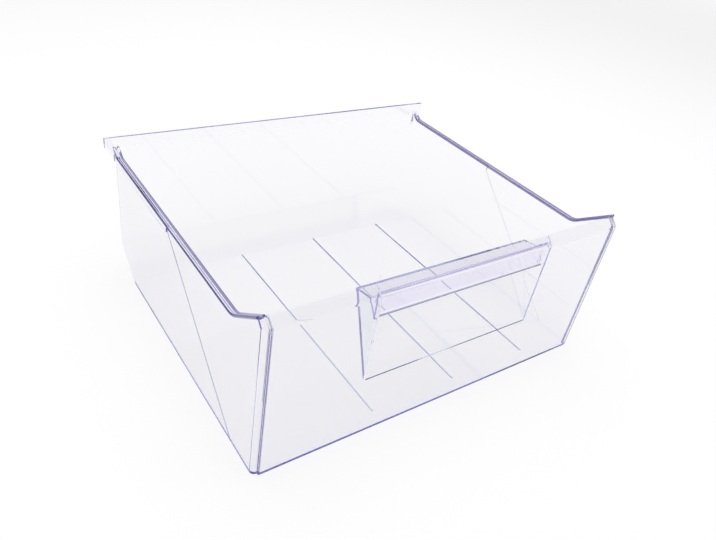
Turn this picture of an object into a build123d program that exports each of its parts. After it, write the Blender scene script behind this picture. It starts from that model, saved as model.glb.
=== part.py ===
from build123d import *
import os

# Clear freezer drawer, moulded in one piece. X runs across the front, Y from the front to the
# back and Z up, in millimetres. The origin is on the surface that the drawer stands on, under
# the middle of its outline.

# Body
body_width = 461.0        # across the outside of the side walls
body_depth = 388.0        # front face at its foot to the rear face
wall = 2.2                # one wall thickness all over, as moulded
corner = 3.4              # inside radius of the four uprights
slope_depth = 44.0        # sloping foot of the back wall, along the floor
slope_height = 33.0

# Front panel, raised in front of the rounded uprights
panel_width = 448.6
panel_step = 2.6
panel_bead = 1.6          # radius of the round bead on each end of the panel
front_height = 193.0
lip_height = 8.0          # top lip that leans back above the bend
lip_back = 8.2
bend_round = 6.0
front_lean = 1.5          # forward lean of the panel from its foot to the bend

# Side rims
rim_drop = 33.0           # top of the front panel down to the middle of the rims' beads
rim_span = 5.3            # between the middles of the two beads
rim_bead = 1.5            # radius of a bead
rim_proud = 1.1           # middle of the outer bead past the outside of the wall
sweep_foot = 56.0         # front face to the point where the rim starts to rise
sweep_radius = 22.0
rise_flat = 4.0           # rear end of the rim, level with the foot of the band
rise_length = 16.0        # back wall to the foot of the rim's rear rise
rise_radius = 10.0

# Runner rail under the rear half of each rim
rail_length = 174.0
rail_height = 8.0         # under the middle of the rim's beads
rail_proud = 1.7          # past the outside of the wall

# Diagonal crease on the outside of each side wall, from the rail's front end to the floor
crease_width = 1.6
crease_depth = 0.6
crease_foot = 48.0        # behind the front face, at floor level
crease_taper = 45.0       # degrees off square

# Back wall band with its two stop ears
back_drop = 12.0          # top of the front panel down to the top of the back wall
band_height = 12.5
band_proud = 2.0
band_round = 0.9
ear_reach = 10.9          # past the outside of the side wall
ear_drop = 29.0           # height of the slanted underside of an ear

# Finger pocket in the front panel
pocket_width = 226.0
pocket_height = 77.0      # opening up to the bead of the grip bar
pocket_depth = 33.0
recess_top = 2.0          # bend of the panel down to the top of the recess
bar_set = 3.6             # grip bar behind the foot of the panel
bar_height = 27.4         # bend of the panel down to the bead of the grip bar
bar_bead = 1.6            # radius of the bead along the bar's lower edge
grip_rise = 14.0          # roof of the pocket above the lower edge of the bar
grip_run = 15.0           # front face to the highest line of the roof
roof_fall = 3.2           # roof down to the pocket's rear edge

# Floor ribs, round on top
rib_count = 3
rib_first = -76.5         # X of the first rib
rib_pitch = 117.0
rib_width = 3.0
rib_height = 1.4
rib_gap = 18.5            # front face to the front end of a rib

# Places worked out from the sizes
half_width = body_width / 2
half_panel = panel_width / 2
half_pocket = pocket_width / 2
bead_proud = panel_bead - wall / 2
front_y = (front_lean + bead_proud - body_depth - band_proud) / 2
back_y = front_y + body_depth
slope_y = back_y - slope_depth
bend_y = front_y - front_lean
bend_z = front_height - lip_height
tub_foot = front_y + panel_step
tub_bend = bend_y + panel_step
lip = Vector(lip_back, lip_height)
lip_outer = Vector(tub_bend, bend_z) + lip
lip_end = lip_outer + lip.normalized().rotate(Axis.Z, -90) * wall / 2
core_top = front_height + 2 * wall
core_front = tub_bend + (core_top - bend_z) * lip_back / lip_height
rim_z = front_height - rim_drop
rim_outer = half_width + rim_proud
rim_inner = rim_outer - rim_span
rail_z = rim_z - rail_height
rail_y = back_y - rail_length
back_z = front_height - back_drop
band_z = back_z - band_height
ear_x = half_width + ear_reach
ear_root = half_width - corner - wall
recess_z = bend_z - recess_top
bar_y = front_y + bar_set
bar_z = bend_z - bar_height
roof_y = front_y + pocket_depth
roof_z = bar_z + grip_rise
pocket_z = bar_z - pocket_height
crease_top = Vector(rail_y, rail_z)
crease_run = Vector(front_y + crease_foot, 0) - crease_top
crease_side = crease_run.normalized().rotate(Axis.Z, 90) * crease_width / 2
crease_end = crease_top + crease_run + crease_run.normalized() * wall


def panel_y(height):
    """Y of the outside of the front panel at a height under the bend."""
    return front_y - front_lean * height / bend_z


def front_line(top_y, top_z):
    """Front of the tub behind the raised panel, from the floor over the bend to a point."""
    return FilletPolyline((tub_foot, 0), (tub_bend, bend_z), (top_y, top_z), radius=bend_round)


def rim_line():
    """Top line of a side wall, from the back wall forward and up to the lip."""
    return FilletPolyline(
        (back_y, band_z),
        (back_y - rise_flat, band_z),
        (back_y - rise_length, rim_z),
        (front_y + sweep_foot, rim_z),
        (lip_end.X, lip_end.Y),
        radius=[rise_radius, rise_radius, sweep_radius],
    )


def uprights(block, half, low_y, high_y):
    """Edges that climb at the corners of a block with this half width, between two Y values."""
    return block.edges().filter_by(
        lambda edge: abs(edge.tangent_at(0.5).X) < 0.01
        and abs(edge.tangent_at(0.5).Z) > 0.3
        and abs(abs(edge.center().X) - half) < 0.01
        and low_y < edge.center().Y < high_y
    )


# Side view of the finger pocket's hollow
pocket_points = [
    (panel_y(pocket_z), pocket_z),
    (roof_y, roof_z - roof_fall),
    (front_y + grip_run, roof_z),
    (bar_y + wall, bar_z),
    (bar_y, bar_z),
    (bar_y, recess_z),
    (panel_y(recess_z), recess_z),
]

# The hollow of the drawer, like the core that moulds it
with BuildPart() as core:
    with BuildSketch(Plane.YZ) as core_side:
        with BuildLine():
            core_line = front_line(core_front, core_top)
            Polyline(
                core_line @ 1,
                (back_y, core_top),
                (back_y, slope_height),
                (slope_y, 0),
                core_line @ 0,
            )
        make_face()
        offset(amount=-wall, kind=Kind.INTERSECTION, mode=Mode.REPLACE)
    extrude(amount=half_width - wall, both=True)
    fillet(uprights(core, half_width - wall, bend_y, front_y + sweep_foot), radius=corner)
    fillet(uprights(core, half_width - wall, slope_y, back_y), radius=corner)
    # Forward into the raised panel
    with BuildSketch(Plane.YZ):
        with Locations((-panel_step, 0)):
            add(core_side.sketch_local)
    extrude(amount=half_panel - wall, both=True)
    # Relief for the walls of the pocket
    with BuildSketch(Plane.YZ):
        with BuildLine():
            Polyline(*pocket_points, close=True)
        make_face()
        offset(amount=wall, kind=Kind.INTERSECTION, mode=Mode.REPLACE)
    extrude(amount=half_pocket + wall, both=True, mode=Mode.SUBTRACT)
    # Relief for the gussets that carry the cheeks of the pocket up to the lip
    with BuildSketch(Plane.YZ.offset(half_pocket)):
        with BuildLine():
            Polyline(
                (bar_y, bar_z),
                (bend_y + wall / 2, bend_z),
                (lip_end.X - panel_step, lip_end.Y),
                (roof_y, roof_z - roof_fall),
                close=True,
            )
        make_face()
    right_gusset = extrude(amount=wall, mode=Mode.SUBTRACT)
    mirror(right_gusset, about=Plane.YZ, mode=Mode.SUBTRACT)
    # Grooves for the floor ribs
    with BuildSketch(Plane.XZ.offset(-front_y - rib_gap)):
        with Locations((rib_first, wall + rib_height - rib_width / 2)):
            with GridLocations(rib_pitch, 0, rib_count, 1, align=(Align.MIN, Align.CENTER)):
                Circle(rib_width / 2)
    extrude(amount=rib_gap - body_depth, mode=Mode.SUBTRACT)

# Rim on the right side wall: a flat strip between two round beads
with BuildPart() as rim:
    with BuildSketch(Plane.YZ.offset(rim_inner)):
        with BuildLine():
            offset(rim_line(), amount=wall, side=Side.LEFT)
        make_face()
    extrude(amount=rim_span)
    for bead_x in (rim_inner, rim_outer):
        with BuildLine(Plane.YZ.offset(bead_x)) as bead:
            rim_line()
        with BuildSketch(Plane(bead.line @ 0, z_dir=bead.line % 0)):
            Circle(rim_bead)
        sweep()

# Bead on the right end of the front panel
with BuildPart() as panel_end:
    with BuildLine(Plane.YZ.offset(half_panel)) as bead:
        FilletPolyline(
            (panel_y(wall) + wall / 2, wall),
            (bend_y + wall / 2, bend_z),
            (lip_end.X - panel_step, lip_end.Y),
            radius=bend_round,
        )
    with BuildSketch(Plane(bead.line @ 0, z_dir=bead.line % 0)):
        Circle(panel_bead)
    sweep()

with BuildPart() as drawer:
    # Outside of the tub, from its side view
    with BuildSketch(Plane.YZ) as tub_side:
        with BuildLine():
            top_line = rim_line()
            tub_line = front_line(lip_outer.X, lip_outer.Y)
            Line(top_line @ 1, tub_line @ 1)
            Polyline(tub_line @ 0, (slope_y, 0), (back_y, slope_height), top_line @ 0)
        make_face()
    extrude(amount=half_width, both=True)
    front_edges = uprights(drawer, half_width, bend_y - wall, tub_bend + lip_back)
    rear_edges = uprights(drawer, half_width, slope_y, back_y + wall)
    rear_edges = rear_edges.filter_by_position(Axis.Z, 0, rail_z)
    fillet(front_edges, radius=corner + wall)
    fillet(rear_edges, radius=corner + wall)

    # The panel in front of it
    with BuildSketch(Plane.YZ):
        with Locations((-panel_step, 0)):
            add(tub_side.sketch_local)
    extrude(amount=half_panel, both=True)

    # Diagonal crease in both side walls
    with BuildSketch(Plane.YZ.offset(half_width)):
        with BuildLine():
            Polyline(
                crease_top + crease_side,
                crease_top - crease_side,
                crease_end - crease_side,
                crease_end + crease_side,
                close=True,
            )
        make_face()
    right_crease = extrude(amount=-crease_depth, taper=crease_taper, mode=Mode.SUBTRACT)
    mirror(right_crease, about=Plane.YZ, mode=Mode.SUBTRACT)

    # The hollow, then the finger pocket through the front
    add(core.part, mode=Mode.SUBTRACT)
    with BuildSketch(Plane.YZ):
        with BuildLine():
            Polyline(
                *pocket_points,
                (bend_y - wall, recess_z),
                (bend_y - wall, pocket_z),
                close=True,
            )
        make_face()
    extrude(amount=half_pocket, both=True, mode=Mode.SUBTRACT)
    with BuildSketch(Plane.YZ):
        with Locations((bar_y + wall / 2, bar_z)):
            Circle(bar_bead)
    extrude(amount=half_pocket + wall / 2, both=True)

    # Upper back wall with its ears, then the band behind it
    with BuildSketch(Plane.XZ.offset(-back_y)):
        with BuildLine():
            Polyline(
                (0, band_z - ear_drop),
                (ear_root, band_z - ear_drop),
                (ear_x, band_z),
                (ear_x, back_z),
                (0, back_z),
            )
            mirror(about=Plane.YZ)
        make_face()
    extrude(amount=wall)
    with BuildSketch(Plane.XZ.offset(-back_y)):
        with Locations((0, band_z)):
            Rectangle(2 * ear_x, band_height, align=(Align.CENTER, Align.MIN))
    extrude(amount=-band_proud)
    top_edges = drawer.edges().filter_by(Axis.X).filter_by_position(Axis.Y, slope_y, back_y + wall)
    fillet(top_edges.group_by(Axis.Z)[-1], radius=band_round)

    # Both rims and the beads of the panel
    for piece in (rim.part, panel_end.part):
        add(piece)
        mirror(piece, about=Plane.YZ)

    # Runner rail under the rear half of each rim
    with BuildSketch(Plane.YZ.offset(half_width - wall)):
        with Locations((rail_y, rail_z)):
            Rectangle(rail_length, rail_height, align=(Align.MIN, Align.MIN))
    right_rail = extrude(amount=wall + rail_proud)
    mirror(right_rail, about=Plane.YZ)

drawer.part.label = "drawer"
os.makedirs("parts", exist_ok=True)
export_step(drawer.part, "parts/drawer.step")
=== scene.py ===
from math import radians

import bpy
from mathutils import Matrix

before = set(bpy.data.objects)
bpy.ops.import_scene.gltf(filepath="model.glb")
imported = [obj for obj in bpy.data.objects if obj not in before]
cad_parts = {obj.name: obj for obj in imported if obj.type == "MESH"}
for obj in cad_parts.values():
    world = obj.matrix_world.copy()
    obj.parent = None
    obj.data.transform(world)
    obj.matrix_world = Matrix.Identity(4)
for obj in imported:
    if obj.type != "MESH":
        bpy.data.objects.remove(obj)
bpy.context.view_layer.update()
scene = bpy.context.scene
scene.view_settings.view_transform = "Standard"
bounces = {"all": 256, "mirrored": 220, "through": 220}  # light runs far inside clear walls
scene.cycles.max_bounces = bounces["all"]
scene.cycles.glossy_bounces = bounces["mirrored"]
scene.cycles.transmission_bounces = bounces["through"]
print("frame loaded:", ", ".join(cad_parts))


# Clear plastic of the drawer
plastic = {
    "tint": (0.966, 0.967, 0.978, 1.0),
    "ior": 1.59,                        # polystyrene
    "roughLow": 0.012,
    "roughHigh": 0.05,                  # hazy patches from handling
    "hazeSize": 14.0,                   # patches per metre
    "hazeDetail": 6.0,
    "hazeFrom": 0.45,                   # noise level where the haze starts
    "hazeFull": 0.8,
    "inside": (0.5, 0.465, 0.82, 1.0),  # what the thickness lets through
    "density": 8.0,
    "waveSize": 9.0,                    # slow waves of the moulded sheet, per metre
    "waveDetail": 1.0,
    "waveHeight": 0.0006,
    "waveStrength": 0.5,
    "shadowTint": (0.985, 0.985, 0.99, 1.0),  # lamp light that falls through the walls
}

# Painted shade: the round beads and the grip bar get a dark violet colour painted into the plastic,
# standing in for the dark edge lines that refraction and light running inside the clear walls give.
# Middle and half size of the box around each, with the left side mirrored, and its painted shade
paintedEdgeShade = (0.11, 0.09, 0.27, 1.0)
paintedSoftEdgeShade = (0.28, 0.27, 0.41, 1.0)
paintedBarShade = (0.965, 0.953, 1.0, 1.0)
paintedEdges = {
    "gripBar": {"at": (0.0, -0.183, 0.174), "half": (0.1128, 0.0175, 0.0158), "tint": paintedBarShade},
    "gripEdge": {"at": (0.0, -0.1893, 0.157), "half": (0.1132, 0.0018, 0.0012), "tint": paintedSoftEdgeShade},
    "rimInner": {"at": (0.2255, 0.001, 0.1755), "half": (0.0008, 0.185, 0.0175), "tint": paintedEdgeShade},
    "rimOuter": {"at": (0.2326, -0.002, 0.1755), "half": (0.0007, 0.188, 0.0175), "tint": paintedEdgeShade},
    "panelEnd": {"at": (0.2244, -0.195, 0.095), "half": (0.0007, 0.005, 0.095), "tint": paintedEdgeShade},
    "panelTop": {"at": (0.2244, -0.19, 0.188), "half": (0.0007, 0.008, 0.008), "tint": paintedSoftEdgeShade},
}


def link(tree, source, target):
    tree.links.new(source, target)


def makeMath(tree, operation, first=None, second=None):
    node = tree.nodes.new("ShaderNodeMath")
    node.operation = operation
    for socket, value in zip(node.inputs, (first, second)):
        if isinstance(value, float):
            socket.default_value = value
        elif value:
            link(tree, value, socket)
    return node


# Paints the dark violet edge shade into the base colour, one box after another
def makePaintedEdgeShade(tree, coords, plain):
    mirror = tree.nodes.new("ShaderNodeVectorMath")
    mirror.operation = "ABSOLUTE"
    sides = tree.nodes.new("ShaderNodeSeparateXYZ")
    place = tree.nodes.new("ShaderNodeSeparateXYZ")
    link(tree, coords, mirror.inputs[0])
    link(tree, mirror.outputs["Vector"], sides.inputs["Vector"])
    link(tree, coords, place.inputs["Vector"])
    axes = (sides.outputs["X"], place.outputs["Y"], place.outputs["Z"])
    colour = None
    for shadedEdge in paintedEdges.values():
        box = None
        for axis, at, half in zip(axes, shadedEdge["at"], shadedEdge["half"]):
            near = makeMath(tree, "COMPARE", axis, at)
            near.inputs[2].default_value = half
            inside = near.outputs["Value"]
            box = makeMath(tree, "MULTIPLY", box, inside).outputs["Value"] if box else inside
        paintedShade = tree.nodes.new("ShaderNodeMix")    # over the colour so far
        paintedShade.data_type = "RGBA"
        paintedShade.inputs["A"].default_value = plain
        paintedShade.inputs["B"].default_value = shadedEdge["tint"]
        link(tree, box, paintedShade.inputs["Factor"])
        if colour:
            link(tree, colour, paintedShade.inputs["A"])
        colour = paintedShade.outputs["Result"]
    return colour


def makeClearPlastic(look):
    mat = bpy.data.materials.new("clearPlastic")
    mat.use_nodes = True
    tree = mat.node_tree
    tree.nodes.clear()
    out = tree.nodes.new("ShaderNodeOutputMaterial")
    body = tree.nodes.new("ShaderNodeBsdfPrincipled")
    body.inputs["Transmission Weight"].default_value = 1.0
    body.inputs["IOR"].default_value = look["ior"]
    coords = tree.nodes.new("ShaderNodeTexCoord")

    # base colour with the painted edge shade on the beads and the grip bar
    colour = makePaintedEdgeShade(tree, coords.outputs["Object"], look["tint"])
    link(tree, colour, body.inputs["Base Color"])

    haze = tree.nodes.new("ShaderNodeTexNoise")     # hazy patches
    haze.inputs["Scale"].default_value = look["hazeSize"]
    haze.inputs["Detail"].default_value = look["hazeDetail"]
    hazeRange = tree.nodes.new("ShaderNodeMapRange")
    hazeRange.inputs["From Min"].default_value = look["hazeFrom"]
    hazeRange.inputs["From Max"].default_value = look["hazeFull"]
    hazeRange.inputs["To Min"].default_value = look["roughLow"]
    hazeRange.inputs["To Max"].default_value = look["roughHigh"]
    link(tree, coords.outputs["Object"], haze.inputs["Vector"])
    link(tree, haze.outputs["Fac"], hazeRange.inputs["Value"])
    link(tree, hazeRange.outputs["Result"], body.inputs["Roughness"])

    wave = tree.nodes.new("ShaderNodeTexNoise")     # flow of the melt in the mould
    wave.inputs["Scale"].default_value = look["waveSize"]
    wave.inputs["Detail"].default_value = look["waveDetail"]
    bump = tree.nodes.new("ShaderNodeBump")
    bump.inputs["Strength"].default_value = look["waveStrength"]
    bump.inputs["Distance"].default_value = look["waveHeight"]
    link(tree, coords.outputs["Object"], wave.inputs["Vector"])
    link(tree, wave.outputs["Fac"], bump.inputs["Height"])
    link(tree, bump.outputs["Normal"], body.inputs["Normal"])

    through = tree.nodes.new("ShaderNodeBsdfTransparent")  # lets lamp light through
    through.inputs["Color"].default_value = look["shadowTint"]
    path = tree.nodes.new("ShaderNodeLightPath")
    mix = tree.nodes.new("ShaderNodeMixShader")
    link(tree, path.outputs["Is Shadow Ray"], mix.inputs["Fac"])
    link(tree, body.outputs["BSDF"], mix.inputs[1])
    link(tree, through.outputs["BSDF"], mix.inputs[2])
    link(tree, mix.outputs["Shader"], out.inputs["Surface"])

    inside = tree.nodes.new("ShaderNodeVolumeAbsorption")
    inside.inputs["Color"].default_value = look["inside"]
    inside.inputs["Density"].default_value = look["density"]
    link(tree, inside.outputs["Volume"], out.inputs["Volume"])
    return mat


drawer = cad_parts["drawer"]
drawer.data.materials.clear()
drawer.data.materials.append(makeClearPlastic(plastic))
print("drawer dressed")


# Plain white stage
stage = {
    "size": 12.0,
    "drop": 0.0005,          # a hair below the drawer's foot
    "colour": (0.86, 0.86, 0.86, 1.0),
    "glowNear": 0.32,        # around the drawer, so that its shadow stays
    "glowFar": 0.9,
    "near": 0.35,            # metres from the drawer's middle
    "far": 4.6,
    "ambient": 0.1,
    "sky": (1.0, 1.0, 1.0, 1.0),
    "mirrored": 0.75,        # the paper, as the clear walls mirror it
    "skyMirrored": 0.6,
}


def makeSeen(tree, mirrored):
    path = tree.nodes.new("ShaderNodeLightPath").outputs
    direct = makeMath(tree, "MAXIMUM", path["Is Camera Ray"], path["Is Transmission Ray"])
    inMirror = makeMath(tree, "MULTIPLY", path["Is Glossy Ray"], mirrored)
    either = makeMath(tree, "MAXIMUM", direct.outputs["Value"], inMirror.outputs["Value"])
    noPaperYet = makeMath(tree, "LESS_THAN", path["Diffuse Depth"], 0.5)  # paper gets the plain level
    seen = makeMath(tree, "MULTIPLY", either.outputs["Value"], noPaperYet.outputs["Value"])
    return seen.outputs["Value"]


def makeFloor(look):
    half = look["size"] / 2
    mesh = bpy.data.meshes.new("floor")
    corners = [(-half, -half, 0), (half, -half, 0), (half, half, 0), (-half, half, 0)]
    mesh.from_pydata(corners, [], [(0, 1, 2, 3)])
    floor = bpy.data.objects.new("floor", mesh)
    floor.location.z = -look["drop"]
    scene.collection.objects.link(floor)
    mat = bpy.data.materials.new("stagePaper")
    mat.use_nodes = True
    tree = mat.node_tree
    tree.nodes.clear()
    out = tree.nodes.new("ShaderNodeOutputMaterial")
    paper = tree.nodes.new("ShaderNodeBsdfDiffuse")
    paper.inputs["Color"].default_value = look["colour"]
    coords = tree.nodes.new("ShaderNodeTexCoord")
    away = tree.nodes.new("ShaderNodeVectorMath")
    away.operation = "LENGTH"
    level = tree.nodes.new("ShaderNodeMapRange")
    level.inputs["From Min"].default_value = look["near"]
    level.inputs["From Max"].default_value = look["far"]
    level.inputs["To Min"].default_value = look["glowNear"]
    level.inputs["To Max"].default_value = look["glowFar"]
    glow = tree.nodes.new("ShaderNodeEmission")
    both = tree.nodes.new("ShaderNodeAddShader")
    link(tree, coords.outputs["Object"], away.inputs[0])
    link(tree, away.outputs["Value"], level.inputs["Value"])
    seen = makeSeen(tree, look["mirrored"])
    strength = makeMath(tree, "MULTIPLY", level.outputs["Result"], seen)
    link(tree, strength.outputs["Value"], glow.inputs["Strength"])
    link(tree, paper.outputs["BSDF"], both.inputs[0])
    link(tree, glow.outputs["Emission"], both.inputs[1])
    link(tree, both.outputs["Shader"], out.inputs["Surface"])
    mesh.materials.append(mat)


def makeWorld(look):
    world = bpy.data.worlds.new("studio")
    world.use_nodes = True
    tree = world.node_tree
    tree.nodes.clear()
    out = tree.nodes.new("ShaderNodeOutputWorld")
    sky = tree.nodes.new("ShaderNodeBackground")
    sky.inputs["Color"].default_value = look["sky"]
    seen = makeSeen(tree, look["skyMirrored"])
    strength = makeMath(tree, "MAXIMUM", seen, look["ambient"])
    link(tree, strength.outputs["Value"], sky.inputs["Strength"])
    link(tree, sky.outputs["Background"], out.inputs["Surface"])
    scene.world = world


makeFloor(stage)
makeWorld(stage)
print("stage set")


# Soft boxes: place, size and watts
lamps = {
    "softBoxTop": {"at": (0.1, 0.1, 2.2), "turn": (0, 0, 0), "size": 2.4, "watts": 45},
    "softBoxLeft": {"at": (-1.9, -1.3, 1.5), "turn": (58, 0, -58), "size": 1.6, "watts": 6},
}
for name, lamp in lamps.items():
    data = bpy.data.lights.new(name, "AREA")
    data.energy = lamp["watts"]
    data.size = lamp["size"]
    obj = bpy.data.objects.new(name, data)
    obj.location = lamp["at"]
    obj.rotation_euler = [radians(a) for a in lamp["turn"]]
    obj.visible_glossy = False          # no bright squares on the plastic
    obj.visible_transmission = False    # lamp light reaches the paper once, by the shadow tint
    scene.collection.objects.link(obj)
print("lamps hung")


# Camera, matched to the photograph
view = {
    "at": (-0.43089, -0.53858, 0.52951),
    "turn": (55.1298, -8.2509, -33.8641),
    "lens": 32.681,
    "sensor": 36.0,
    "clipNear": 0.01,
}
camData = bpy.data.cameras.new("camera")
camData.sensor_width = view["sensor"]
camData.lens = view["lens"]
camData.clip_start = view["clipNear"]
camera = bpy.data.objects.new("camera", camData)
camera.location = view["at"]
camera.rotation_euler = [radians(a) for a in view["turn"]]
scene.collection.objects.link(camera)
scene.camera = camera
print("camera set")
